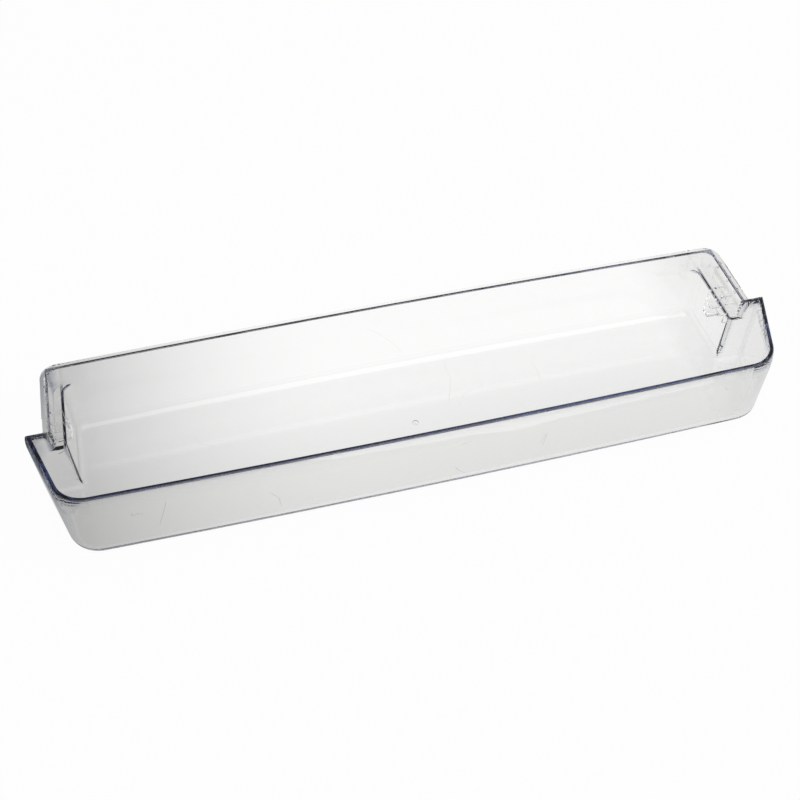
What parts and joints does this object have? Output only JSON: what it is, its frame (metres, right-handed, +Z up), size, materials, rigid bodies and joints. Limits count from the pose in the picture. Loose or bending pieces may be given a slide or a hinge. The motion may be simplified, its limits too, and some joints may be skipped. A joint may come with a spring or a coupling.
{
  "type": "fridge door shelf",
  "caption": "Clear plastic fridge door shelf: a long open tray with a winged front half, a stepped rear half with a rim flange, and hanging pockets under its end ledges.",
  "frame": {"origin": "middle of the length and of the depth, on the underside of the floor", "axes": "+X along the length, to the right seen from the front; -Y towards the front wall; +Z up, out of the open top"},
  "size_m": [0.479, 0.1162, 0.055],
  "materials": {
    "clear_polystyrene": "gloss moulded, water clear"
  },
  "bodies": {
    "root": {"door_shelf": "clear_polystyrene"}
  },
  "joints": []
}
